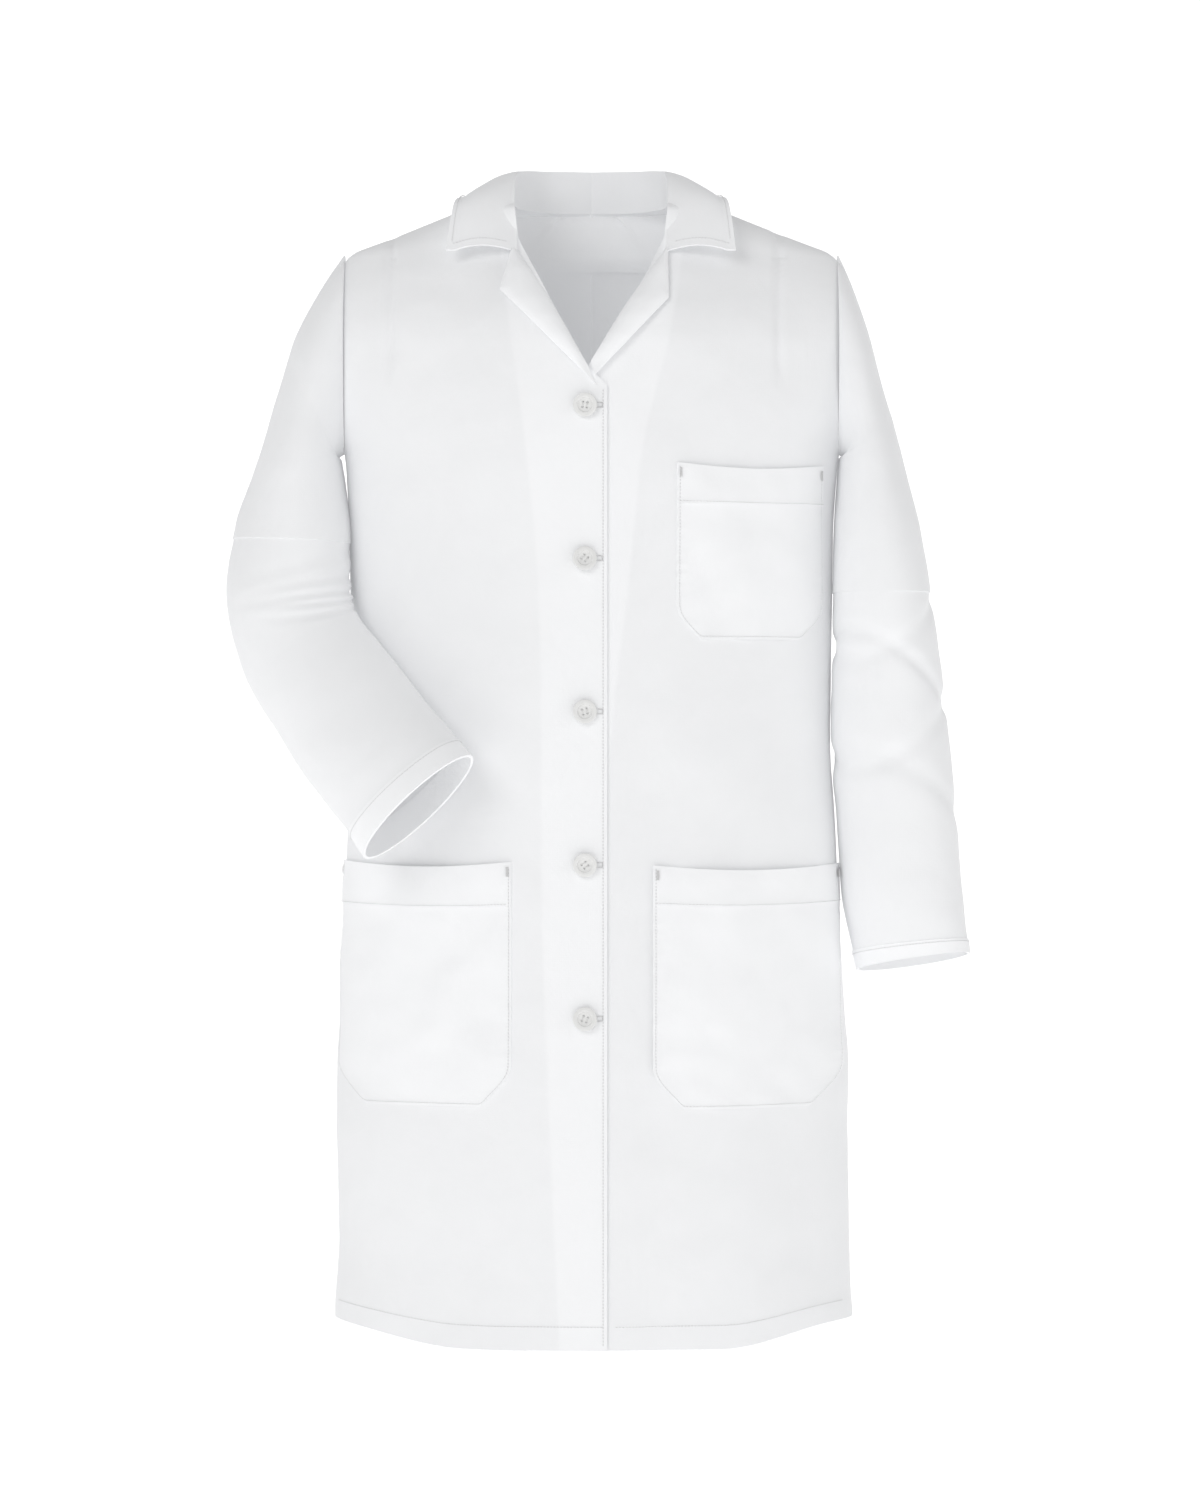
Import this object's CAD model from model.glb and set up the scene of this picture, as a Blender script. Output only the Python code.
"""A long white laboratory coat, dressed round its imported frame: cloth, seams, pockets and buttons."""
import math

import bmesh
import bpy
from mathutils import Matrix, Vector, noise


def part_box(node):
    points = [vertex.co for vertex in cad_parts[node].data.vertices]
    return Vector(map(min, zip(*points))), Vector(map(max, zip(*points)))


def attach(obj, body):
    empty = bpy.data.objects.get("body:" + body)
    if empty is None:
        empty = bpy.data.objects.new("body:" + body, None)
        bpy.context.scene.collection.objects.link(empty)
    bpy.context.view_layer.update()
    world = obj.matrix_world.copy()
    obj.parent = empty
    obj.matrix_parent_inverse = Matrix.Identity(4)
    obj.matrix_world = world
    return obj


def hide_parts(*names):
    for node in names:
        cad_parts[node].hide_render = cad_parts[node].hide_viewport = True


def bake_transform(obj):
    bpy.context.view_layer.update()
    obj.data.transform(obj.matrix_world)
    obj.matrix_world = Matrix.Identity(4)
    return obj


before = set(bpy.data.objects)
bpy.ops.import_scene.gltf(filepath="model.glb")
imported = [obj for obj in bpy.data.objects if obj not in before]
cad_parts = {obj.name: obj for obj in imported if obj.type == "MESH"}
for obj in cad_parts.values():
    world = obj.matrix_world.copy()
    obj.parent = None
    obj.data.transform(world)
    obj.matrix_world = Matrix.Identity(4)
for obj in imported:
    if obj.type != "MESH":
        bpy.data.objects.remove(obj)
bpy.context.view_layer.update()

bl_info = {
    "name": "Laboratory coat",
    "version": (1, 0, 0),
    "blender": (4, 5, 0),
    "location": "View3D > Sidebar > Coat",
    "description": "Sews the cloth of a laboratory coat over its pattern frame",
    "category": "Mesh",
}

# ---------------------------------------------------------------- the coat's block
# Level, half width and half depth of the body, in metres, counted down from the neck seam.
BODY = [
    (-0.965, 0.221, 0.125), (-0.715, 0.218, 0.1215), (-0.450, 0.2055, 0.117), (-0.265, 0.208, 0.114),
    (-0.208, 0.212, 0.113), (-0.165, 0.226, 0.111), (-0.085, 0.236, 0.100), (-0.040, 0.216, 0.062),
    (-0.022, 0.167, 0.060), (0.0, 0.112, 0.062), (0.006, 0.068, 0.060),
]
UNDERARM = -0.208
SHOULDER_HALF = 0.212
HEM = -0.965
V_BOTTOM = Vector((-0.0025, -0.141))
OVER_EDGE = 0.0136
UNDER_EDGE = -0.024
CLOTH = 0.0009


def smoothstep(low, high, value):
    share = min(max((value - low) / (high - low), 0.0), 1.0)
    return share * share * (3 - 2 * share)


def lerp(a, b, share):
    return a + (b - a) * share


def along(table, value):
    """Read a table of (place, value...) rows at a place, with eased joins between the rows."""
    for low, high in zip(table, table[1:]):
        if value <= high[0]:
            share = min(max((value - low[0]) / (high[0] - low[0]), 0.0), 1.0)
            return [lerp(a, b, share) for a, b in zip(low[1:], high[1:])]
    return list(table[-1][1:])


def body_size(level):
    """Half width and half depth at a level, with the corners of the table rounded off."""
    reach = lerp(0.012, 0.030, smoothstep(-0.20, -0.12, level))
    reach = lerp(reach, 0.003, smoothstep(-0.070, -0.025, level))
    total = [0.0, 0.0]
    for step in (-1, -0.5, 0, 0.5, 1):
        half, deep = along(BODY, min(max(level + step * reach, HEM), 0.006))
        total[0] += half / 5
        total[1] += deep / 5
    return total


def fold(seed, x, z, size, height):
    """Soft uneven ripple of the cloth."""
    return height * noise.noise(Vector((x / size, seed * 7.3, z / size)))


def drape(x, y, z):
    """How far the cloth stands from the block: soft flutes that grow towards the hem."""
    front = -1 if y < 0 else 1
    fall = smoothstep(-0.45, HEM, z)
    angle = math.atan2(x, -y)
    flute = math.sin(angle * 9 + 0.6 + 0.5 * math.sin(z * 9)) * (0.0006 + 0.0020 * fall)
    drag = fold(3 + front, x * 0.8 + z * 0.35, z, 0.085, 0.0026)
    crumple = fold(9 + front, x, z * 1.4, 0.034, 0.0007)
    calm = 1 - 0.75 * smoothstep(0.05, 0.02, abs(x)) if y < 0 else 1
    rise = smoothstep(0.0, -0.05, z)
    beside_sleeve = 1 - 0.6 * smoothstep(0.17, 0.20, abs(x)) * smoothstep(-0.68, -0.62, z)
    return (flute + drag + crumple) * calm * beside_sleeve * (0.25 + 0.75 * rise)


def hem_lift(x, level):
    """The hem curves up a little towards the side seams."""
    return 0.017 * smoothstep(0.11, 0.221, abs(x)) * smoothstep(-0.90, HEM, level)


def on_body(angle, level, stand=0.0, soft=1.0):
    """A point on the coat at an angle round it (0 is the centre front) and a level."""
    half, deep = body_size(level)
    x, y = half * math.sin(angle), -deep * math.cos(angle)
    out = Vector((x / half ** 2, y / deep ** 2, 0)).normalized()
    slope = (body_size(level - 0.004)[1] - body_size(level + 0.004)[1]) / 0.008
    out = Vector((out.x, out.y, min(slope, 2.5) * abs(out.y))).normalized()
    stand += drape(x, y, level) * soft
    return Vector((x, y, level + hem_lift(x, level))) + out * stand


def angle_at(x, level):
    half = body_size(level)[0]
    return math.asin(max(-1.0, min(1.0, x / half)))


def front_point(x, level, stand=0.0, soft=1.0):
    return on_body(angle_at(x, level), level, stand, soft)


# ---------------------------------------------------------------- mesh helpers


def quiet():
    """Deselect everything, so an operator acts only on the new piece."""
    if bpy.context.object and bpy.context.object.mode != "OBJECT":
        bpy.ops.object.mode_set(mode="OBJECT")
    bpy.ops.object.select_all(action="DESELECT")


def object_from(name, points, faces, uvs=None):
    mesh = bpy.data.meshes.new(name)
    mesh.from_pydata([tuple(p) for p in points], [], faces)
    piece = bpy.data.objects.new(name, mesh)
    bpy.context.scene.collection.objects.link(piece)
    if uvs:
        layer = mesh.uv_layers.new(name="cloth")
        for loop in mesh.loops:
            layer.data[loop.index].uv = uvs[loop.vertex_index]
    mesh.update()
    return piece


def grid(name, across, up, point, closed=False):
    """A cloth grid: point(s, t) gives the place for s and t from 0 to 1."""
    columns = across if closed else across + 1
    points = [point(i / across, j / up) for j in range(up + 1) for i in range(columns)]
    faces = []
    for j in range(up):
        for i in range(across):
            a = j * columns + i
            b = j * columns + (i + 1) % columns
            faces.append((a, b, b + columns, a + columns))
    uvs = [(i / across, j / up) for j in range(up + 1) for i in range(columns)]
    return object_from(name, points, faces, uvs)


def apply_all(piece):
    quiet()
    piece.select_set(True)
    bpy.context.view_layer.objects.active = piece
    for modifier in list(piece.modifiers):
        bpy.ops.object.modifier_apply(modifier=modifier.name)


def thicken(piece, thick=CLOTH, offset=-1.0, bevel=0.0, outwards=None):
    """Give a cloth grid its thickness, with the outside facing out."""
    if outwards is not None:
        face = piece.data.polygons[len(piece.data.polygons) // 2]
        if face.normal.dot(outwards(face.center)) < 0:
            piece.data.flip_normals()
    solid = piece.modifiers.new("cloth", "SOLIDIFY")
    solid.thickness = thick
    solid.offset = offset
    solid.use_even_offset = False
    if bevel:
        rounded = piece.modifiers.new("edge", "BEVEL")
        rounded.width = bevel
        rounded.segments = 2
        rounded.limit_method = "ANGLE"
    apply_all(piece)
    for polygon in piece.data.polygons:
        polygon.use_smooth = True
    quiet()
    piece.select_set(True)
    bpy.context.view_layer.objects.active = piece
    bpy.ops.object.shade_smooth_by_angle(angle=math.radians(50))
    return piece


def away_from_axis(centre):
    return Vector((centre.x, centre.y, 0))


# ---------------------------------------------------------------- materials


def node_tree(name):
    material = bpy.data.materials.new(name)
    material.use_nodes = True
    tree = material.node_tree
    return material, tree, tree.nodes["Principled BSDF"]


def facing_tone(nodes, links, place, plain, colour, edges):
    """Lighten the cloth where the facing lies behind it: edges gives (level, outer x) down the front."""
    split = nodes.new("ShaderNodeSeparateXYZ")
    links.new(place.outputs["Object"], split.inputs[0])
    height = nodes.new("ShaderNodeMapRange")
    height.inputs["From Min"].default_value = HEM
    height.inputs["From Max"].default_value = 0.0
    links.new(split.outputs["Z"], height.inputs["Value"])
    edge = nodes.new("ShaderNodeFloatCurve")
    curve = edge.mapping.curves[0]
    stops = [(1 - level / HEM, 0.5 + x / FACING_SPAN) for level, x in edges]
    curve.points[0].location = stops[0]
    curve.points[1].location = stops[-1]
    for stop in stops[1:-1]:
        curve.points.new(*stop)
    edge.mapping.update()
    links.new(height.outputs["Result"], edge.inputs["Value"])
    across = nodes.new("ShaderNodeMapRange")
    across.inputs["From Min"].default_value = -FACING_SPAN / 2
    across.inputs["From Max"].default_value = FACING_SPAN / 2
    links.new(split.outputs["X"], across.inputs["Value"])
    past = nodes.new("ShaderNodeMath")
    past.operation = "SUBTRACT"
    links.new(across.outputs["Result"], past.inputs[0])
    links.new(edge.outputs["Value"], past.inputs[1])
    inwards = 1 if edges[0][1] < 0 else -1
    soft = nodes.new("ShaderNodeMapRange")
    soft.interpolation_type = "SMOOTHSTEP"
    soft.inputs["From Min"].default_value = -0.006 * inwards
    soft.inputs["From Max"].default_value = 0.006 * inwards
    links.new(past.outputs[0], soft.inputs["Value"])
    toned = nodes.new("ShaderNodeMix")
    toned.data_type = "RGBA"
    toned.inputs[7].default_value = (*[min(c * 1.04, 0.97) for c in colour], 1)
    links.new(soft.outputs["Result"], toned.inputs["Factor"])
    links.new(plain, toned.inputs[6])
    return toned.outputs[2]


def cloth_material(name, colour, through_light, weave=1300.0, facing_edges=None):
    """Plain-woven poly-cotton: fine crossing threads, slubs, and a slight unevenness of whiteness."""
    material, tree, shader = node_tree(name)
    nodes, links = tree.nodes, tree.links
    place = nodes.new("ShaderNodeTexCoord")
    warp = nodes.new("ShaderNodeTexWave")
    weft = nodes.new("ShaderNodeTexWave")
    for wave, direction in ((warp, "X"), (weft, "Z")):
        wave.wave_type = "BANDS"
        wave.bands_direction = direction
        wave.inputs["Scale"].default_value = weave / 6.2832
        wave.inputs["Distortion"].default_value = 1.2
        wave.inputs["Detail"].default_value = 1.0
        wave.inputs["Detail Scale"].default_value = 2.0
        links.new(place.outputs["Object"], wave.inputs["Vector"])
    crossing = nodes.new("ShaderNodeMath")
    crossing.operation = "MULTIPLY"
    links.new(warp.outputs["Fac"], crossing.inputs[0])
    links.new(weft.outputs["Fac"], crossing.inputs[1])
    slub = nodes.new("ShaderNodeTexNoise")
    slub.inputs["Scale"].default_value = 420.0
    slub.inputs["Detail"].default_value = 3.0
    links.new(place.outputs["Object"], slub.inputs["Vector"])
    creases = nodes.new("ShaderNodeTexNoise")
    creases.inputs["Scale"].default_value = 26.0
    creases.inputs["Detail"].default_value = 4.0
    creases.inputs["Distortion"].default_value = 0.6
    links.new(place.outputs["Object"], creases.inputs["Vector"])
    thread_bump = nodes.new("ShaderNodeBump")
    thread_bump.inputs["Strength"].default_value = 0.12
    thread_bump.inputs["Distance"].default_value = 0.0002
    links.new(crossing.outputs[0], thread_bump.inputs["Height"])
    slub_bump = nodes.new("ShaderNodeBump")
    slub_bump.inputs["Strength"].default_value = 0.10
    slub_bump.inputs["Distance"].default_value = 0.0004
    links.new(slub.outputs["Fac"], slub_bump.inputs["Height"])
    links.new(thread_bump.outputs["Normal"], slub_bump.inputs["Normal"])
    crease_bump = nodes.new("ShaderNodeBump")
    crease_bump.inputs["Strength"].default_value = 0.22
    crease_bump.inputs["Distance"].default_value = 0.004
    links.new(creases.outputs["Fac"], crease_bump.inputs["Height"])
    links.new(slub_bump.outputs["Normal"], crease_bump.inputs["Normal"])
    links.new(crease_bump.outputs["Normal"], shader.inputs["Normal"])
    tint = nodes.new("ShaderNodeMapRange")
    tint.inputs["From Min"].default_value = 0.3
    tint.inputs["From Max"].default_value = 0.7
    links.new(creases.outputs["Fac"], tint.inputs["Value"])
    mix = nodes.new("ShaderNodeMix")
    mix.data_type = "RGBA"
    links.new(tint.outputs["Result"], mix.inputs["Factor"])
    mix.inputs[6].default_value = (*[c * 0.985 for c in colour], 1)
    mix.inputs[7].default_value = (*colour, 1)
    colour_out = mix.outputs[2]
    if facing_edges:
        colour_out = facing_tone(nodes, links, place, colour_out, colour, facing_edges)
    links.new(colour_out, shader.inputs["Base Color"])
    rough = nodes.new("ShaderNodeMapRange")
    rough.inputs["To Min"].default_value = 0.78
    rough.inputs["To Max"].default_value = 0.92
    links.new(slub.outputs["Fac"], rough.inputs["Value"])
    links.new(rough.outputs["Result"], shader.inputs["Roughness"])
    shader.inputs["Specular IOR Level"].default_value = 0.25
    shader.inputs["Sheen Weight"].default_value = 0.12
    shader.inputs["Sheen Roughness"].default_value = 0.5
    shader.inputs["Emission Color"].default_value = (*colour, 1)
    shader.inputs["Emission Strength"].default_value = through_light
    return material


def plastic_material(name, colour):
    """Moulded button plastic, with a faint cloudiness and fine scratches."""
    material, tree, shader = node_tree(name)
    nodes, links = tree.nodes, tree.links
    place = nodes.new("ShaderNodeTexCoord")
    cloud = nodes.new("ShaderNodeTexNoise")
    cloud.inputs["Scale"].default_value = 160.0
    cloud.inputs["Detail"].default_value = 4.0
    links.new(place.outputs["Object"], cloud.inputs["Vector"])
    mix = nodes.new("ShaderNodeMix")
    mix.data_type = "RGBA"
    mix.inputs[6].default_value = (*[c * 0.95 for c in colour], 1)
    mix.inputs[7].default_value = (*colour, 1)
    links.new(cloud.outputs["Fac"], mix.inputs["Factor"])
    links.new(mix.outputs[2], shader.inputs["Base Color"])
    rough = nodes.new("ShaderNodeMapRange")
    rough.inputs["To Min"].default_value = 0.24
    rough.inputs["To Max"].default_value = 0.42
    links.new(cloud.outputs["Fac"], rough.inputs["Value"])
    links.new(rough.outputs["Result"], shader.inputs["Roughness"])
    bump = nodes.new("ShaderNodeBump")
    bump.inputs["Strength"].default_value = 0.06
    bump.inputs["Distance"].default_value = 0.0002
    links.new(cloud.outputs["Fac"], bump.inputs["Height"])
    links.new(bump.outputs["Normal"], shader.inputs["Normal"])
    return material


def thread_material(name, colour):
    """Two-ply sewing thread, ribbed by its twist."""
    material, tree, shader = node_tree(name)
    nodes, links = tree.nodes, tree.links
    place = nodes.new("ShaderNodeTexCoord")
    ply = nodes.new("ShaderNodeTexWave")
    ply.bands_direction = "DIAGONAL"
    ply.inputs["Scale"].default_value = 700.0
    links.new(place.outputs["Object"], ply.inputs["Vector"])
    bump = nodes.new("ShaderNodeBump")
    bump.inputs["Strength"].default_value = 0.4
    bump.inputs["Distance"].default_value = 0.0002
    links.new(ply.outputs["Fac"], bump.inputs["Height"])
    links.new(bump.outputs["Normal"], shader.inputs["Normal"])
    mix = nodes.new("ShaderNodeMix")
    mix.data_type = "RGBA"
    mix.inputs[6].default_value = (*[c * 0.86 for c in colour], 1)
    mix.inputs[7].default_value = (*colour, 1)
    links.new(ply.outputs["Fac"], mix.inputs["Factor"])
    links.new(mix.outputs[2], shader.inputs["Base Color"])
    shader.inputs["Roughness"].default_value = 0.85
    return material


MATERIALS = {}
FACING_SPAN = 0.40
FACING_EDGES = {
    "right": ((-0.965, -0.026), (-0.745, -0.036), (-0.590, -0.041), (-0.378, -0.0425), (-0.300, -0.046),
              (-0.182, -0.058), (-0.118, -0.067), (0.0, -0.082)),
    "left": ((-0.965, 0.008), (-0.560, 0.010), (-0.430, 0.019), (-0.320, 0.032), (-0.256, 0.038),
             (-0.205, 0.044), (-0.162, 0.054), (-0.114, 0.066), (0.0, 0.082)),
}


def make_materials(look):
    white = tuple(look.cloth_colour)
    glow = look.through_light
    MATERIALS["cloth"] = cloth_material("coat_cloth", white, glow)
    for side in ("right", "left"):
        MATERIALS[f"{side}_front"] = cloth_material(f"{side}_front_cloth", white, glow, facing_edges=FACING_EDGES[side])
    MATERIALS["double"] = cloth_material("doubled_cloth", tuple(min(c * look.double_lift, 0.97) for c in white), glow)
    MATERIALS["inside"] = cloth_material("inside_cloth", tuple(c * look.inside_shade for c in white), glow * 1.8)
    MATERIALS["button"] = plastic_material("button_plastic", tuple(look.button_colour))
    MATERIALS["thread"] = thread_material("sewing_thread", (0.82, 0.82, 0.81))
    MATERIALS["stitch"] = thread_material("seam_stitching", (0.72, 0.72, 0.72))


def dress(piece, key):
    piece.data.materials.clear()
    piece.data.materials.append(MATERIALS[key])
    return piece


def side_angle(level):
    """How far round the coat a front or back reaches at a level: to the side seam or the armhole."""
    half = body_size(level)[0]
    if level > UNDERARM and half > SHOULDER_HALF:
        return math.asin(SHOULDER_HALF / half)
    return math.pi / 2


def levels_list(low, high):
    """Rows for a panel, closer together over the shoulder where the cloth turns over."""
    rows, level = [], low
    while level < high - 1e-6:
        rows.append(level)
        step = 0.0085 if level < -0.22 else 0.005
        if level > -0.05:
            step = 0.0014
        level += step
    rows.append(high)
    return rows


TOP = 0.006


def v_edge(level, side):
    """The front's inner edge across the coat: straight below the V, then the roll line, then the neck."""
    sign = -1 if side == "right" else 1
    edge = OVER_EDGE if side == "right" else UNDER_EDGE
    if level < V_BOTTOM.y - 0.016:
        return edge
    if level < V_BOTTOM.y:
        share = (level - V_BOTTOM.y + 0.016) / 0.016
        return lerp(edge, V_BOTTOM.x, share)
    return sign * along([(V_BOTTOM.y, 0.0025 * -sign), (-0.085, 0.033), (-0.028, 0.062), (TOP, 0.066)], level)[0]


def panel_rows(name, rows, left, right, columns, stand, soft=1.0):
    """A panel between two angles that change with the level."""
    count = len(rows) - 1

    def place(s, t):
        level = rows[round(t * count)]
        low, high = left(level), right(level)
        return on_body(lerp(low, high, s), level, stand(level, lerp(low, high, s)), soft)

    return grid(name, columns, count, place)


def front_panel(side):
    """One front of the coat, from side seam to edge and from shoulder to hem."""
    sign = -1 if side == "right" else 1
    inward = 0.0 if side == "right" else -0.0026

    def stand(level, angle):
        x = abs(body_size(level)[0] * math.sin(angle))
        sink = smoothstep(0.075, 0.040, x) if side == "left" else 0.0
        dart_x = 0.171 if side == "right" else 0.160
        dart = math.exp(-((x - dart_x) / 0.0038) ** 2) * smoothstep(-0.16, -0.13, level)
        return inward * sink - 0.0026 * dart

    def outer(level):
        return sign * side_angle(level)

    def inner(level):
        return angle_at(v_edge(level, side), level)

    rows = levels_list(HEM, TOP)
    name = f"{side}_front_cloth"
    if side == "right":
        piece = panel_rows(name, rows, outer, inner, 110, stand)
    else:
        piece = panel_rows(name, rows, inner, outer, 110, stand)
    thicken(piece, outwards=away_from_axis)
    dress(piece, f"{side}_front")
    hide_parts(f"{side}_front_panel", f"{side}_front_edge")
    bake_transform(piece)
    return piece


def back_panel(side):
    """Half of the back, from the centre back seam to the side seam, armhole and shoulder."""
    sign = -1 if side == "right" else 1

    def stand(level, angle):
        from_seam = abs(math.pi - abs(angle)) * 0.2
        return -0.0012 * math.exp(-(from_seam / 0.0022) ** 2)

    def middle(level):
        return sign * math.pi

    def outer(level):
        return sign * (math.pi - side_angle(level))

    rows = levels_list(HEM, TOP)
    name = f"{side}_back_cloth"
    if side == "right":
        piece = panel_rows(name, rows, middle, outer, 72, stand)
    else:
        piece = panel_rows(name, rows, outer, middle, 72, stand)
    thicken(piece, outwards=away_from_axis)
    dress(piece, "inside")
    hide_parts(f"{side}_back_panel")
    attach(piece, "coat")
    return piece


# ---------------------------------------------------------------- strips, stitches and seams


def stitch_line(points, normal, pitch=0.0028, radius=0.00022, rise=0.0003):
    """Corners and faces of a run of short lockstitches lying along a path."""
    verts, faces = [], []
    lengths = [0.0]
    for a, b in zip(points, points[1:]):
        lengths.append(lengths[-1] + (b - a).length)

    def at(distance):
        for k in range(1, len(lengths)):
            if distance <= lengths[k] or k == len(lengths) - 1:
                share = (distance - lengths[k - 1]) / max(lengths[k] - lengths[k - 1], 1e-9)
                return points[k - 1].lerp(points[k], min(max(share, 0), 1))

    count = int(lengths[-1] / pitch)
    for k in range(count):
        start, end = at(k * pitch + pitch * 0.12), at(k * pitch + pitch * 0.88)
        n = normal((start + end) / 2)
        forward = (end - start).normalized()
        side = forward.cross(n).normalized()
        base = len(verts)
        for p, shrink in ((start, 0.35), (start.lerp(end, 0.3), 1), (start.lerp(end, 0.7), 1), (end, 0.35)):
            middle = p + n * (rise if shrink == 1 else 0.0)
            for corner in range(4):
                turn = corner * math.pi / 2
                across = side * (radius * math.cos(turn) * shrink * 1.3)
                verts.append(middle + across + n * (radius * math.sin(turn) * shrink))
        for ring in range(3):
            for corner in range(4):
                a = base + ring * 4 + corner
                b = base + ring * 4 + (corner + 1) % 4
                faces.append((a, b, b + 4, a + 4))
        faces.append((base + 3, base + 2, base + 1, base))
        faces.append((base + 12, base + 13, base + 14, base + 15))
    return verts, faces


def stitch_piece(name, runs, normal, **shape):
    """Several runs of stitching as one piece."""
    verts, faces = [], []
    for points in runs:
        more, their = stitch_line(points, normal, **shape)
        base = len(verts)
        verts += more
        faces += [tuple(i + base for i in face) for face in their]
    return dress(object_from(name, verts, faces), "stitch")


def whipped(name, pairs, share):
    """Single thick stitches, each from a start to an end, that fill a share of the way."""
    verts, faces = [], []
    for start, end in pairs:
        more, their = stitch_line([start, end], body_normal, pitch=(end - start).length * share, radius=0.0003)
        base = len(verts)
        verts += more
        faces += [tuple(i + base for i in face) for face in their]
    return dress(object_from(name, verts, faces), "stitch")


def stitches(name, runs, normal, body, **shape):
    """Runs of stitching that ride on one body."""
    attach(stitch_piece(name, runs, normal, **shape), body)


def body_normal(point):
    half, deep = body_size(max(min(point.z, 0.0), HEM))
    return Vector((point.x / half ** 2, point.y / deep ** 2, 0)).normalized()


# ---------------------------------------------------------------- sleeves
# Each station is an inner point, an outer point and a half depth, from the armhole to the cuff.
LEFT_SLEEVE = [
    (Vector((0.2150, 0, -0.2070)), Vector((0.2150, 0, -0.0460)), 0.050),
    (Vector((0.2180, 0, -0.2120)), Vector((0.2360, 0, -0.1010)), 0.062),
    (Vector((0.2170, 0, -0.2130)), Vector((0.2530, 0, -0.1650)), 0.070),
    (Vector((0.2140, 0, -0.2170)), Vector((0.2650, 0, -0.2080)), 0.077),
    (Vector((0.2095, -0.008, -0.2710)), Vector((0.2810, -0.008, -0.2710)), 0.078),
    (Vector((0.2070, -0.014, -0.3350)), Vector((0.2920, -0.014, -0.3350)), 0.072),
    (Vector((0.2060, -0.014, -0.3990)), Vector((0.3010, -0.014, -0.3990)), 0.064),
    (Vector((0.2055, -0.014, -0.4630)), Vector((0.3080, -0.014, -0.4630)), 0.058),
    (Vector((0.2100, -0.012, -0.5260)), Vector((0.3150, -0.012, -0.5260)), 0.054),
    (Vector((0.2150, -0.008, -0.5900)), Vector((0.3200, -0.008, -0.5900)), 0.053),
    (Vector((0.2285, 0, -0.6520)), Vector((0.3255, 0, -0.6380)), 0.050),
]
RIGHT_SLEEVE = [
    (Vector((-0.2150, 0, -0.2070)), Vector((-0.2150, 0, -0.0460)), 0.050),
    (Vector((-0.2180, 0, -0.2120)), Vector((-0.2490, 0, -0.1010)), 0.062),
    (Vector((-0.2170, 0, -0.2140)), Vector((-0.2660, 0, -0.1500)), 0.070),
    (Vector((-0.2145, -0.003, -0.2190)), Vector((-0.2880, -0.003, -0.2220)), 0.077),
    (Vector((-0.2078, -0.016, -0.2750)), Vector((-0.3030, -0.016, -0.2710)), 0.072),
    (Vector((-0.2045, -0.036, -0.3280)), Vector((-0.3110, -0.036, -0.3340)), 0.060),
    (Vector((-0.1960, -0.066, -0.3520)), Vector((-0.2930, -0.054, -0.4020)), 0.047),
    (Vector((-0.1600, -0.100, -0.3960)), Vector((-0.2560, -0.086, -0.4620)), 0.041),
    (Vector((-0.1280, -0.126, -0.4340)), Vector((-0.2200, -0.112, -0.5100)), 0.038),
    (Vector((-0.1000, -0.152, -0.4680)), Vector((-0.1870, -0.134, -0.5530)), 0.037),
]
SLEEVES = {"left": LEFT_SLEEVE, "right": RIGHT_SLEEVE}
# Where the sleeve is split between its two pieces, and where the cuff band starts.
SPLIT = {"left": 4.9, "right": 4.2}
CUFF = {"left": 9.66, "right": 8.52}
# How far the front of the cuff mouth leans back up the arm, and the stations over which it comes in.
MOUTH_TILT = {"left": (0.12, (8.6, 10.0)), "right": (0.36, (6.6, 9.0))}


def smooth_between(values, place):
    """A smooth curve through evenly numbered values (numbers or vectors)."""
    last = len(values) - 1
    k = min(int(place), last - 1)
    share = place - k
    a, b = values[max(k - 1, 0)], values[k]
    c, d = values[k + 1], values[min(k + 2, last)]
    square, cube = share * share, share * share * share
    return (b * 2 + (c - a) * share + (a * 2 - b * 5 + c * 4 - d) * square + (b * 3 - a - c * 3 + d) * cube) * 0.5


def armhole_point(sign, turn):
    """A point on the armhole's edge: turn 0 is the underarm, pi the shoulder tip."""
    top = -0.0385
    level = lerp(UNDERARM, top, (1 - math.cos(turn)) / 2)
    half, deep = body_size(level)
    depth = deep * math.sqrt(max(1 - (SHOULDER_HALF / max(half, SHOULDER_HALF)) ** 2, 0))
    rounded = 0.004 * abs(math.sin(turn))
    return Vector((sign * SHOULDER_HALF, -math.copysign(depth + rounded, math.sin(turn)), level))


def elbow_folds(side, place, turn):
    """Creases that fan from the crook of the elbow and drag lines down the arm."""
    total = 0.0
    if side == "right":
        near_crook = 0.5 + 0.5 * math.cos(turn)
        front = 0.5 + 0.5 * math.sin(turn)
        for at, slant, width, height in (
            (4.72, 0.34, 0.085, 0.0016), (5.0, 0.12, 0.075, 0.0026), (5.28, -0.18, 0.080, 0.0018),
            (5.65, -0.46, 0.100, 0.0014), (4.35, 0.55, 0.110, 0.0012),
        ):
            centre = at + slant * (1 - near_crook)
            total -= height * math.exp(-((place - centre) / width) ** 2) * (near_crook ** 1.3) * (0.35 + 0.65 * front)
            total += 0.5 * height * math.exp(-((place - centre - 0.13) / width) ** 2) * near_crook
        total += 0.0008 * math.sin(place * 3.1 + turn * 1.0) * smoothstep(5.2, 7.0, place) * smoothstep(9.0, 8.0, place)
    else:
        for at, slant, width, height in (
            (5.3, 0.5, 0.13, 0.0022), (6.0, -0.6, 0.12, 0.0026), (6.7, 0.55, 0.14, 0.0022), (7.5, -0.5, 0.18, 0.0018),
        ):
            centre = at + slant * math.sin(turn + 0.8)
            total -= height * math.exp(-((place - centre) / width) ** 2)
    return total


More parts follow.
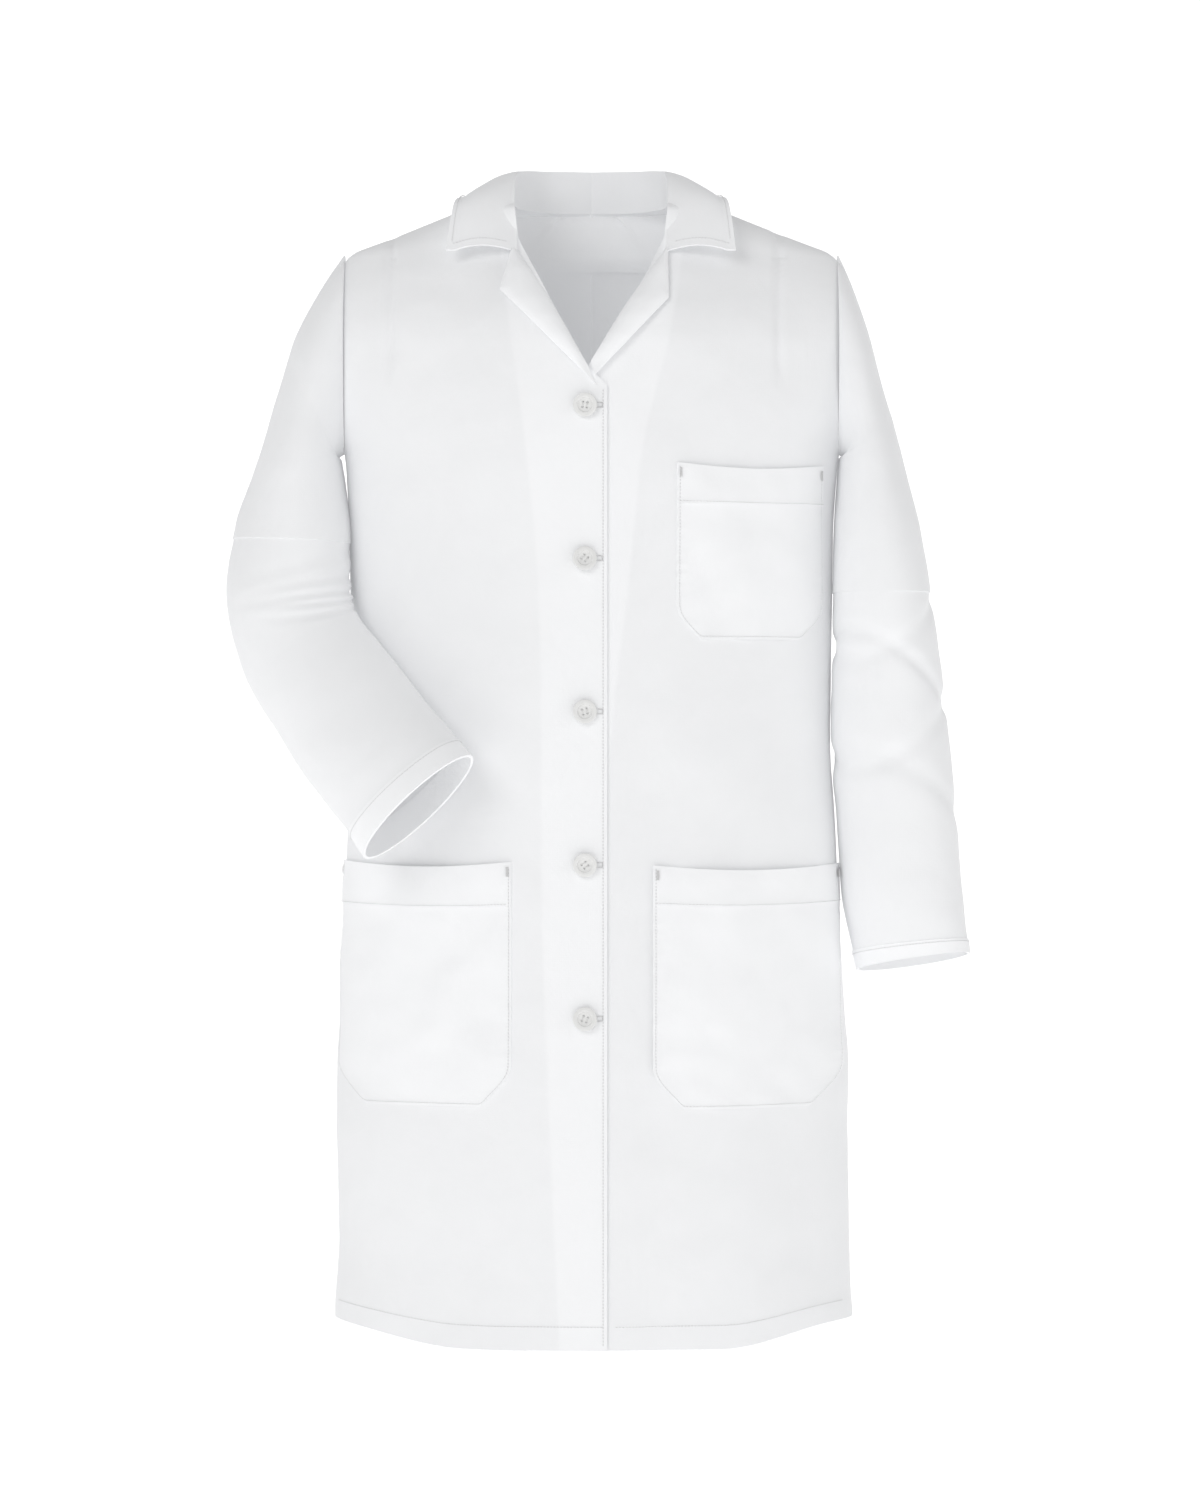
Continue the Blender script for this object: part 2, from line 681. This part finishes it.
def sleeve_point(side, place, turn, stand=0.0, soft=1.0):
    """A point round a sleeve: turn 0 faces the body (or the underarm), pi faces away."""
    sign = -1 if side == "right" else 1
    stations = SLEEVES[side]
    near = smooth_between([row[0] for row in stations], place)
    far = smooth_between([row[1] for row in stations], place)
    depth = smooth_between([row[2] for row in stations], place)
    across = far - near
    half = across.length / 2
    across.normalize()
    ahead = Vector((0, -1, 0))
    lean, towards_mouth = MOUTH_TILT[side]
    up_arm = across.cross(ahead) * -sign
    ahead += up_arm * (lean * smoothstep(*towards_mouth, place))
    way = ahead - across * across.dot(ahead)
    way.normalize()
    centre = (near + far) / 2
    out = (-across * math.cos(turn) / half + way * math.sin(turn) / depth).normalized()
    point = centre - across * (half * math.cos(turn)) + way * (depth * math.sin(turn))
    if place < 1.2:
        point = armhole_point(sign, turn).lerp(point, smoothstep(0.0, 1.2, place))
    calm = smoothstep(0.15, 1.4, place) * smoothstep(len(stations) - 1.0, len(stations) - 1.7, place)
    wave = fold(21 if side == "left" else 27, math.sin(turn) * 0.04, place * 0.020, 0.030, 0.0018)
    fine = fold(31, math.sin(turn) * 0.05, place * 0.05, 0.016, 0.0005)
    ease = 0.0028 * math.exp(-((place - 0.75) / 0.4) ** 2) * abs(math.sin(turn / 2))
    stand += (wave + fine + elbow_folds(side, place, turn)) * soft * calm + ease
    return point + out * stand


def sleeve_tube(name, side, start, end, rows, columns=72, stand=0.0, soft=1.0, thick=CLOTH):
    def place(s, t):
        return sleeve_point(side, lerp(start, end, t), s * 2 * math.pi, stand, soft)

    piece = grid(name, columns, rows, place, closed=True)
    middle = piece.data.polygons[(rows // 2) * columns]
    ring_centre = sum((sleeve_point(side, lerp(start, end, 0.5), k * math.pi / 4) for k in range(8)), Vector()) / 8
    if middle.normal.dot(middle.center - ring_centre) < 0:
        piece.data.flip_normals()
    return thicken(piece, thick)


def sleeve(side):
    """A sleeve in two pieces: the head and upper arm, and the forearm, which meet above the elbow."""
    end = len(SLEEVES[side]) - 1
    head = sleeve_tube(f"{side}_sleeve_head", side, 0.0, SPLIT[side], 84)
    dress(head, "cloth")
    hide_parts(f"{side}_upper_sleeve")
    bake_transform(head)
    arm = sleeve_tube(f"{side}_sleeve_arm", side, SPLIT[side], end - 0.02, 170)
    dress(arm, "cloth")
    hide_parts(f"{side}_lower_sleeve")
    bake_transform(arm)
    band = sleeve_tube(f"{side}_cuff_band", side, CUFF[side], float(end), 12, stand=0.0008, soft=1.0, thick=0.0026)
    dress(band, "double")
    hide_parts(f"{side}_cuff_hem")
    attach(band, f"{side}_forearm")
    ring = [sleeve_point(side, CUFF[side] + 0.05, k * math.pi / 48, 0.0009) for k in range(97)]
    heart = sum(ring, Vector()) / len(ring)
    stitches(f"{side}_cuff_stitching", [ring], lambda p: (p - heart).normalized(), f"{side}_forearm")


# ---------------------------------------------------------------- collar and lapels
# Half of the collar from the centre back (0) to its front end (1): the neck seam, the fold, the outer edge.
NECK_SEAM = [
    (0.0, 0, 0.0600, 0.004), (0.25, 0.038, 0.0500, 0.004), (0.5, 0.0620, 0.0220, 0.004),
    (0.7, 0.0665, -0.0100, 0.003), (0.85, 0.0670, -0.0370, -0.008), (1.0, 0.0640, -0.0610, -0.040),
]
COLLAR_FOLD = [
    (0.0, 0, 0.0570, 0.0405), (0.25, 0.0360, 0.0480, 0.0400), (0.5, 0.0580, 0.0220, 0.0375),
    (0.7, 0.0655, -0.0080, 0.0310), (0.85, 0.0670, -0.0370, 0.0070), (1.0, 0.0640, -0.0660, -0.0400),
]
COLLAR_EDGE = [
    (0.0, 0, 0.1000, -0.006), (0.25, 0.0540, 0.0860, -0.003), (0.5, 0.0930, 0.0480, 0.004),
    (0.7, 0.1080, 0.0060, 0.0100), (0.85, 0.1165, -0.0460, 0.0030), (1.0, 0.1225, -0.0750, -0.0400),
]


def on_line(table, share):
    """A smooth point on one half of a collar line, mirrored for negative shares."""
    stations = [Vector(row[1:]) for row in table]
    keys = [row[0] for row in table]
    amount = min(abs(share), 1.0)
    k = max(i for i in range(len(keys) - 1) if keys[i] <= amount)
    point = smooth_between(stations, k + (amount - keys[k]) / (keys[k + 1] - keys[k]))
    if share < 0:
        point.x = -point.x
    return point


def collar():
    """The stand round the neck and the fall that turns down over it."""
    def band_point(s, t):
        share = s * 2 - 1
        return on_line(NECK_SEAM, share).lerp(on_line(COLLAR_FOLD, share), t)

    band = grid("collar_band", 120, 14, band_point)
    thicken(band, 0.0016, outwards=away_from_axis)
    dress(band, "double")
    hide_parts("collar_stand")
    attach(band, "coat")

    def fall_point(s, t):
        share = s * 2 - 1
        low, high = on_line(COLLAR_EDGE, share), on_line(COLLAR_FOLD, share)
        point = high.lerp(low, t)
        outward = Vector((high.x, high.y, 0)).normalized()
        roll = math.sin(math.pi * min(t * 1.15, 1.0)) ** 0.8
        rise = 0.0075 * roll * (1 - 0.35 * abs(share))
        wave = fold(41, share * 0.16, t * 0.04, 0.03, 0.0012) * smoothstep(0.0, 0.4, t)
        return point + (outward * 0.5 + Vector((0, 0, 0.85))) * (rise + wave)

    fall = grid("collar_leaf", 140, 30, fall_point)
    thicken(fall, 0.0018, outwards=lambda c: Vector((c.x, c.y, 0.08)))
    dress(fall, "double")
    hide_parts("collar_fall", "right_collar_leaf", "left_collar_leaf")
    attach(fall, "coat")
    rows = []
    edge = [fall_point(k / 200, 0.925) + Vector((0, 0, 0.0006)) for k in range(3, 198)]
    ends = [[fall_point(s, 0.10 + 0.825 * k / 30) + Vector((0, 0, 0.0006)) for k in range(31)] for s in (0.012, 0.988)]
    rows += [edge] + ends
    stitches("collar_stitching", rows, lambda p: Vector((p.x, p.y, 0.12)).normalized(), "coat", rise=0.0007)


LAPELS = {
    # roll line from the V to the neck, then the lapel's start, its tip and its upper corner, across and up
    "right": [Vector(p) for p in (
        (-0.0025, -0.141), (-0.0625, -0.040), (0.0046, -0.1575), (-0.077, -0.0755), (-0.0685, -0.0440),
    )],
    "left": [Vector(p) for p in (
        (0.0000, -0.137), (0.0625, -0.040), (0.0032, -0.149), (0.0655, -0.0830), (0.0650, -0.0430),
    )],
}


def lapel(side):
    """The turned-back top of a front, rolled over along a line from the V to the collar."""
    low, high, start, tip, corner = LAPELS[side]

    def edge(s):
        return start.lerp(tip, s / 0.72) if s < 0.72 else tip.lerp(corner, (s - 0.72) / 0.28)

    def place(s, t):
        inner = low.lerp(high, s)
        outer = edge(s)
        bow = 0.0018 * math.sin(math.pi * s)
        flat = inner.lerp(outer, t)
        rise = 0.0016 + 0.0052 * math.sin(math.pi * min(t, 1.0)) ** 0.7 * smoothstep(0.0, 0.25, s)
        rise += 0.0012 * smoothstep(0.5, 1.0, t)
        point = front_point(flat.x, flat.y, rise, 0.6)
        point.x += (bow if side == "right" else -bow) * (1 - t)
        return point

    piece = grid(f"{side}_lapel_cloth", 60, 24, place)
    thicken(piece, 0.0014, outwards=lambda c: Vector((0, -1, 0.3)))
    dress(piece, "double")
    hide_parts(f"{side}_lapel")
    return piece


def blend_with_front(piece):
    """Move a piece as its front moves: still beside the fold line, turning past it."""
    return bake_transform(piece)


def facing(side):
    """The strip that lines the edge of a front, inside the coat."""
    sign = -1 if side == "right" else 1
    deep = -0.0018 if side == "right" else -0.0044
    edge = OVER_EDGE if side == "right" else UNDER_EDGE

    def place(s, t):
        level = lerp(HEM + 0.0012, -0.087, t)
        inner = v_edge(level, side)
        width = 0.050 + 0.012 * smoothstep(-0.5, -0.2, level)
        outer = lerp(edge + sign * width, sign * 0.066, smoothstep(V_BOTTOM.y - 0.12, V_BOTTOM.y + 0.02, level))
        return front_point(lerp(inner + sign * 0.0006, outer, s), level, deep)

    piece = grid(f"{side}_facing_cloth", 14, 120, place)
    thicken(piece, 0.0006, outwards=away_from_axis)
    dress(piece, "cloth")
    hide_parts(f"{side}_facing")
    blend_with_front(piece)


def back_neck_lining():
    """The facing inside the back of the neck, with two short pleats below the collar seam."""
    def place(s, t):
        angle = math.pi + lerp(-1.15, 1.15, s)
        level = lerp(-0.044, 0.002, t)
        pleat = sum(math.exp(-((s - at) / 0.010) ** 2) for at in (0.40, 0.62)) * smoothstep(0.15, 0.7, t)
        return on_body(angle, level, -0.0022 - 0.0020 * pleat, 1.0)

    piece = grid("back_neck_lining", 90, 16, place)
    thicken(piece, 0.0008, outwards=away_from_axis)
    dress(piece, "inside")
    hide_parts("back_neck_facing")
    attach(piece, "coat")


# ---------------------------------------------------------------- pockets
# Low and high x, mouth, bottom, clipped corner, hem band and how far the mouth stands open.
POCKETS = {
    "chest_pocket": (0.072, 0.197, -0.222, -0.370, 0.021, 0.034, 0.0022),
    "right_hip_pocket": (-0.214, -0.066, -0.557, -0.762, 0.027, 0.037, 0.0034),
    "left_hip_pocket": (0.052, 0.212, -0.560, -0.764, 0.027, 0.033, 0.0036),
}


def pocket_edges(name, level):
    """The pocket's two edges at a level, with its lower corners clipped off."""
    low, high, _, bottom, corner, _, _ = POCKETS[name]
    clip = max(0.0, corner - (level - bottom)) * 0.98
    rounding = 0.0018 * math.exp(-((level - bottom - corner) / 0.004) ** 2)
    return low + clip + rounding, high - clip - rounding


def pocket_point(name, s, level, stand=0.0, soft=1.0):
    low, high, mouth, bottom, _, _, gape = POCKETS[name]
    left, right = pocket_edges(name, level)
    x = lerp(left, right, s)
    share = (level - bottom) / (mouth - bottom)
    middle = math.sin(math.pi * min(max(s, 0.0), 1.0))
    puff = 0.0014 * middle ** 0.5 * math.sin(math.pi * min(share * 0.9 + 0.1, 1.0))
    mouth_open = gape * middle * smoothstep(0.6, 1.0, share)
    seam = min(s, 1 - s) * (high - low)
    uneven = 0.5 + noise.noise(Vector((level * 40, s * 3, 4.0)))
    phase = level * 610 + 9 * noise.noise(Vector((level * 22, s, 0)))
    pucker = 0.00032 * uneven * math.sin(phase) * math.exp(-(seam / 0.008) ** 2)
    pucker += fold(51, x, level, 0.022, 0.0009) * smoothstep(0.0, 0.012, seam)
    sag = Vector((0, 0, -0.0045 * middle * smoothstep(0.7, 1.0, share)))
    pull = fold(55 + len(name), x * 1.6, level * 0.7, 0.05, 0.0018) * smoothstep(0.0, 0.02, seam)
    return front_point(x, level, 0.0010 + puff + mouth_open + pucker + pull + stand, soft) + sag


def pocket(name):
    """A patch pocket: its bag, its doubled hem, its edge stitching and bar tacks."""
    low, high, mouth, bottom, corner, band, _ = POCKETS[name]
    bag = grid(f"{name}_cloth", 72, 96, lambda s, t: pocket_point(name, s, lerp(bottom, mouth, t)))
    thicken(bag, 0.0011, outwards=lambda c: Vector((c.x, c.y, 0)))
    dress(bag, "double")
    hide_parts(name)
    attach(bag, "coat")
    hem = grid(
        f"{name}_band", 72, 18,
        lambda s, t: pocket_point(name, 0.004 + s * 0.992, lerp(mouth - band, mouth + 0.0004, t), 0.0009),
    )
    thicken(hem, 0.0010, outwards=lambda c: Vector((c.x, c.y, 0)))
    dress(hem, "double")
    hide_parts(f"{name}_hem")
    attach(hem, "coat")

    def edge(inset):
        share = inset / (high - low)
        left = [pocket_point(name, share, lerp(mouth - 0.002, bottom + 0.003, k / 90), 0.0006) for k in range(91)]
        under = [pocket_point(name, lerp(share, 1 - share, k / 50), bottom + 0.0025, 0.0006) for k in range(51)]
        right = [pocket_point(name, 1 - share, lerp(bottom + 0.003, mouth - 0.002, k / 90), 0.0006) for k in range(91)]
        return left + under[1:-1] + right

    hem_line = [pocket_point(name, 0.01 + 0.98 * k / 90, mouth - band + 0.002, 0.0021) for k in range(91)]
    runs = [edge(0.0022), hem_line]
    stitches(f"{name}_stitching", runs, body_normal, "coat", rise=0.0007)
    pairs = []
    for s in (0.022, 0.978):
        for k in range(9):
            level = mouth - 0.004 - k * 0.0009
            pairs.append((pocket_point(name, s - 0.012, level, 0.0020), pocket_point(name, s + 0.012, level, 0.0020)))
    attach(whipped(f"{name}_bar_tacks", pairs, 0.98), "coat")


# ---------------------------------------------------------------- buttons and buttonholes


def button_centres():
    """Where the buttons' discs are in the frame, top to bottom, on the face that shows."""
    places = []
    for i in range(1, 6):
        low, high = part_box(f"button_{i}")
        places.append(Vector(((low[0] + high[0]) / 2, low[1], (low[2] + high[2]) / 2)))
    return places


def select_faces(test):
    """Select, in edit mode, the faces that pass a test of their middle and their normal."""
    mesh = bmesh.from_edit_mesh(bpy.context.object.data)
    for face in mesh.faces:
        face.select_set(bool(test(face.calc_center_median(), face.normal)))
    bmesh.update_edit_mesh(bpy.context.object.data)


def button_disc(look):
    """One moulded four-hole button, facing -Y at the origin: a raised rim round a dished middle."""
    quiet()
    radius = look.button_width / 2
    bpy.ops.mesh.primitive_cylinder_add(
        vertices=64, radius=radius, depth=0.0030, location=(0, 0.0015, 0), rotation=(math.radians(90), 0, 0),
    )
    piece = bpy.context.object
    bpy.ops.object.transform_apply(location=True, rotation=True, scale=True)
    bpy.ops.object.mode_set(mode="EDIT")
    bpy.ops.mesh.select_mode(type="FACE")
    select_faces(lambda middle, normal: normal.y < -0.9)
    bpy.ops.mesh.inset(thickness=radius * 0.16, depth=0.0003)
    bpy.ops.mesh.inset(thickness=radius * 0.20, depth=-0.0002)
    bpy.ops.mesh.inset(thickness=radius * 0.045, depth=-0.0009)
    bpy.ops.mesh.inset(thickness=radius * 0.05, depth=-0.0002)
    bpy.ops.object.mode_set(mode="OBJECT")
    for across, up in ((-1, -1), (-1, 1), (1, -1), (1, 1)):
        bpy.ops.mesh.primitive_cylinder_add(
            vertices=24, radius=0.00095, depth=0.02,
            location=(across * 0.0019, 0, up * 0.0019), rotation=(math.radians(90), 0, 0),
        )
        drill = bpy.context.object
        hole = piece.modifiers.new("hole", "BOOLEAN")
        hole.object = drill
        hole.operation = "DIFFERENCE"
        hole.solver = "EXACT"
        quiet()
        piece.select_set(True)
        bpy.context.view_layer.objects.active = piece
        bpy.ops.object.modifier_apply(modifier=hole.name)
        bpy.data.objects.remove(drill)
    rounded = piece.modifiers.new("rounded", "BEVEL")
    rounded.width = 0.00035
    rounded.segments = 3
    rounded.limit_method = "ANGLE"
    rounded.angle_limit = math.radians(35)
    apply_all(piece)
    bpy.ops.object.shade_smooth_by_angle(angle=math.radians(40))
    return piece


def thread_bars(name, centre):
    """The two bars of thread over a button's middle, and the wound shank behind it."""
    verts, faces = [], []
    for across in (-1, 1):
        for strand in range(5):
            x = centre.x + across * 0.0019 + (strand - 2) * 0.00027
            lift = 0.00045 - 0.00010 * abs(strand - 2)
            line = []
            for k in range(13):
                y = centre.y + 0.0013 - lift * math.sin(math.pi * k / 12)
                line.append(Vector((x, y, centre.z + lerp(-0.0022, 0.0022, k / 12))))
            for k in range(12):
                base = len(verts)
                for p in (line[k], line[k + 1]):
                    for corner in range(6):
                        turn = corner * math.pi / 3
                        verts.append(p + Vector((0.00019 * math.cos(turn), 0.00019 * math.sin(turn), 0)))
                faces += [(base + c, base + (c + 1) % 6, base + 6 + (c + 1) % 6, base + 6 + c) for c in range(6)]
                if k == 0:
                    faces.append(tuple(base + 5 - c for c in range(6)))
                if k == 11:
                    faces.append(tuple(base + 6 + c for c in range(6)))
    shank_rows = 26
    base = len(verts)
    for row in range(shank_rows + 1):
        y = centre.y + 0.0026 + row * 0.00021
        radius = 0.0013 + 0.00018 * math.sin(row * 2.1)
        for corner in range(16):
            turn = corner * math.pi / 8
            verts.append(Vector((centre.x + radius * math.cos(turn), y, centre.z + radius * math.sin(turn))))
    for row in range(shank_rows):
        for corner in range(16):
            a = base + row * 16 + corner
            b = base + row * 16 + (corner + 1) % 16
            faces.append((a, a + 16, b + 16, b))
    faces.append(tuple(base + c for c in range(16)))
    faces.append(tuple(base + shank_rows * 16 + 15 - c for c in range(16)))
    piece = object_from(name, verts, faces)
    quiet()
    piece.select_set(True)
    bpy.context.view_layer.objects.active = piece
    bpy.ops.object.mode_set(mode="EDIT")
    bpy.ops.mesh.select_all(action="SELECT")
    bpy.ops.mesh.remove_doubles(threshold=0.000002)
    bpy.ops.mesh.normals_make_consistent(inside=False)
    bpy.ops.object.mode_set(mode="OBJECT")
    for polygon in piece.data.polygons:
        polygon.use_smooth = True
    return piece


# How each sewn button sits: its turn about its own middle and its small tilts, in degrees.
BUTTON_SET = [(8, 3, -4), (38, -4, 3), (-14, 2, 5), (52, 5, -2), (21, -3, -5)]


def buttons(look):
    pattern = button_disc(look)
    for i, centre in enumerate(button_centres()):
        turn, nod, lean = (math.radians(a) for a in BUTTON_SET[i])
        disc = pattern.copy()
        disc.data = pattern.data.copy()
        disc.name = f"button_{i + 1}_disc"
        bpy.context.scene.collection.objects.link(disc)
        spin = Matrix.Rotation(turn, 4, "Y")
        tilt = Matrix.Rotation(nod, 4, "X") @ Matrix.Rotation(lean, 4, "Z")
        place = Matrix.Translation(Vector((centre.x, centre.y + 0.0002, centre.z)))
        disc.data.transform(place @ tilt @ spin)
        dress(disc, "button")
        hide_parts(f"button_{i + 1}")
        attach(disc, f"button_{i + 1}")
        thread = thread_bars(f"button_{i + 1}_sewing", Vector((0, 0, 0)))
        thread.data.transform(place @ tilt @ spin)
        dress(thread, "thread")
        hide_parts(f"button_thread_{i + 1}")
        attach(thread, f"button_{i + 1}")
    bpy.data.objects.remove(pattern)


def buttonholes():
    """Five worked buttonholes: close whipped stitches round a straight slit."""
    pairs = []
    for centre in button_centres():
        for k in range(64):
            turn = k * 2 * math.pi / 64
            across = max(-1, min(1, 1.25 * math.cos(turn)))
            up = max(-1, min(1, 1.4 * math.sin(turn)))
            pairs.append(tuple(
                front_point(centre.x + 0.0030 + half_wide * across, centre.z + half_high * up, 0.0006, 1.0)
                for half_wide, half_high in ((0.0112, 0.0013), (0.0122, 0.0028))
            ))
    piece = whipped("worked_buttonholes", pairs, 0.99)
    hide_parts("buttonholes")
    blend_with_front(piece)


# ---------------------------------------------------------------- seams and top stitching


HEM_DEPTH = 0.020
STITCH_STAND = 0.0004


def top_stitching():
    """Lockstitch along the hems and down the edge that laps over."""
    for side in ("right", "left"):
        sign = -1 if side == "right" else 1
        hem = []
        for k in range(181):
            x = sign * lerp(0.020 if side == "left" else -0.010, 0.214, k / 180)
            hem.append(front_point(x, HEM + HEM_DEPTH, STITCH_STAND))
        runs = [hem]
        if side == "right":
            levels = [lerp(HEM + 0.004, -0.160, k / 400) for k in range(401)]
            runs.append([front_point(OVER_EDGE - 0.0035, level, STITCH_STAND) for level in levels])
        blend_with_front(stitch_piece(f"{side}_front_stitching", runs, body_normal))
    for side in ("right", "left"):
        sign = -1 if side == "right" else 1
        hem = []
        for k in range(201):
            angle = sign * (math.pi - lerp(0.02, math.pi / 2 - 0.03, k / 200))
            hem.append(on_body(angle, HEM + HEM_DEPTH, STITCH_STAND))
        stitches(f"{side}_back_stitching", [hem], body_normal, "coat")


# ---------------------------------------------------------------- stage


def stage(look):
    """A pale floor that curves up into a backdrop, soft lights and the camera."""
    floor = HEM - 0.30
    back, bend = 6.0, 1.6
    profile = [(-7.0, floor), (back, floor)]
    for k in range(1, 13):
        turn = k * math.pi / 24
        profile.append((back + bend * math.sin(turn), floor + bend - bend * math.cos(turn)))
    profile += [(back + bend, floor + 6.5)]
    points = [Vector((x, y, z)) for y, z in profile for x in (-8.0, 8.0)]
    faces = [(2 * k, 2 * k + 1, 2 * k + 3, 2 * k + 2) for k in range(len(profile) - 1)]
    sweep = object_from("studio_sweep", points, faces)
    for polygon in sweep.data.polygons:
        polygon.use_smooth = True
    material, _, shader = node_tree("studio_white")
    shader.inputs["Base Color"].default_value = (0.96, 0.96, 0.96, 1)
    shader.inputs["Roughness"].default_value = 0.95
    shader.inputs["Specular IOR Level"].default_value = 0.1
    shader.inputs["Emission Color"].default_value = (1.0, 1.0, 1.0, 1)
    shader.inputs["Emission Strength"].default_value = 0.52
    sweep.data.materials.append(material)
    world = bpy.data.worlds.new("studio")
    world.use_nodes = True
    world.node_tree.nodes["Background"].inputs["Color"].default_value = (1.0, 1.0, 1.0, 1)
    world.node_tree.nodes["Background"].inputs["Strength"].default_value = look.fill_light
    bpy.context.scene.world = world
    for name, spot, aim, size, power in (
        ("key", (-1.9, -3.2, 1.5), (0, 0, -0.4), 2.2, look.key_light),
        ("side", (3.0, -1.6, 0.4), (0, 0, -0.5), 2.6, look.key_light * 0.35),
        ("backdrop", (0.0, 3.6, 3.4), (0, 6.8, 0.0), 3.0, look.key_light * 0.9),
    ):
        data = bpy.data.lights.new(name, "AREA")
        data.shape = "DISK"
        data.size = size
        data.energy = power
        lamp = bpy.data.objects.new(name, data)
        lamp.location = spot
        lamp.rotation_euler = (Vector(aim) - Vector(spot)).to_track_quat("-Z", "Y").to_euler()
        bpy.context.scene.collection.objects.link(lamp)
    camera_data = bpy.data.cameras.new("camera")
    distance = 4.25
    camera_data.lens = 36.0 * (distance - 0.05) / 1.275
    camera = bpy.data.objects.new("camera", camera_data)
    camera.location = (0.0076, -distance, -0.463)
    camera.rotation_euler = (math.radians(90), 0, 0)
    bpy.context.scene.collection.objects.link(camera)
    bpy.context.scene.camera = camera
    bpy.context.scene.view_settings.view_transform = "Standard"


# ---------------------------------------------------------------- add-on


class CoatLook(bpy.types.PropertyGroup):
    cloth_colour: bpy.props.FloatVectorProperty(
        name="Cloth", description="Colour of the woven cloth", subtype="COLOR", size=3, default=(0.86, 0.865, 0.875),
        min=0, max=1,
    )
    double_lift: bpy.props.FloatProperty(
        name="Doubled cloth", description="How much lighter doubled cloth looks", default=1.045, min=0.9, max=1.2,
    )
    inside_shade: bpy.props.FloatProperty(
        name="Inside", description="Shade of the single cloth inside the back", default=1.0, min=0.5, max=1.1,
    )
    through_light: bpy.props.FloatProperty(
        name="Light through cloth", description="Light that soaks through the thin cloth", default=0.08, min=0, max=0.5,
    )
    button_colour: bpy.props.FloatVectorProperty(
        name="Buttons", description="Colour of the moulded buttons", subtype="COLOR", size=3,
        default=(0.83, 0.83, 0.82), min=0, max=1,
    )
    button_width: bpy.props.FloatProperty(
        name="Button width", description="Diameter of a button", default=0.020, min=0.01, max=0.03, unit="LENGTH",
    )
    fill_light: bpy.props.FloatProperty(name="Fill light", description="Light from all round", default=0.43, min=0)
    key_light: bpy.props.FloatProperty(name="Key light", description="Power of the main lamp", default=38.0, min=0)


def look():
    return bpy.context.scene.coat_look


class COAT_OT_panels(bpy.types.Operator):
    """Cut and hang the two fronts and the two halves of the back"""
    bl_idname = "coat.panels"
    bl_label = "Body panels"

    def execute(self, context):
        for side in ("right", "left"):
            front_panel(side)
            back_panel(side)
            facing(side)
        back_neck_lining()
        return {"FINISHED"}


class COAT_OT_sleeves(bpy.types.Operator):
    """Set in both sleeves, with their cuffs"""
    bl_idname = "coat.sleeves"
    bl_label = "Sleeves"

    def execute(self, context):
        for side in ("right", "left"):
            sleeve(side)
        return {"FINISHED"}


class COAT_OT_collar(bpy.types.Operator):
    """Turn the collar down and roll the lapels back"""
    bl_idname = "coat.collar"
    bl_label = "Collar and lapels"

    def execute(self, context):
        collar()
        for side in ("right", "left"):
            piece = lapel(side)
            blend_with_front(piece)
        return {"FINISHED"}


class COAT_OT_pockets(bpy.types.Operator):
    """Patch on the chest pocket and the two hip pockets"""
    bl_idname = "coat.pockets"
    bl_label = "Pockets"

    def execute(self, context):
        for name in POCKETS:
            pocket(name)
        return {"FINISHED"}


class COAT_OT_buttons(bpy.types.Operator):
    """Work the buttonholes and sew on the buttons"""
    bl_idname = "coat.buttons"
    bl_label = "Buttons and buttonholes"

    def execute(self, context):
        buttonholes()
        buttons(look())
        return {"FINISHED"}


class COAT_OT_stitching(bpy.types.Operator):
    """Top-stitch the hems and the front edge"""
    bl_idname = "coat.stitching"
    bl_label = "Top stitching"

    def execute(self, context):
        top_stitching()
        return {"FINISHED"}


class COAT_OT_stage(bpy.types.Operator):
    """Set up the pale studio, its lights and the camera"""
    bl_idname = "coat.stage"
    bl_label = "Studio"

    def execute(self, context):
        stage(look())
        return {"FINISHED"}


class COAT_PT_sidebar(bpy.types.Panel):
    bl_label = "Laboratory coat"
    bl_idname = "COAT_PT_sidebar"
    bl_space_type = "VIEW_3D"
    bl_region_type = "UI"
    bl_category = "Coat"

    def draw(self, context):
        for name in CoatLook.__annotations__:
            self.layout.prop(context.scene.coat_look, name)
        for operator in OPERATORS:
            self.layout.operator(operator.bl_idname)


OPERATORS = (
    COAT_OT_panels, COAT_OT_sleeves, COAT_OT_collar, COAT_OT_pockets, COAT_OT_buttons, COAT_OT_stitching, COAT_OT_stage,
)
CLASSES = (CoatLook, *OPERATORS, COAT_PT_sidebar)


def register():
    for item in CLASSES:
        bpy.utils.register_class(item)
    bpy.types.Scene.coat_look = bpy.props.PointerProperty(type=CoatLook)


def unregister():
    del bpy.types.Scene.coat_look
    for item in reversed(CLASSES):
        bpy.utils.unregister_class(item)


def main():
    register()
    make_materials(look())
    bpy.ops.coat.panels()
    bpy.ops.coat.sleeves()
    bpy.ops.coat.collar()
    bpy.ops.coat.pockets()
    bpy.ops.coat.buttons()
    bpy.ops.coat.stitching()
    bpy.ops.coat.stage()


if __name__ == "__main__":
    main()
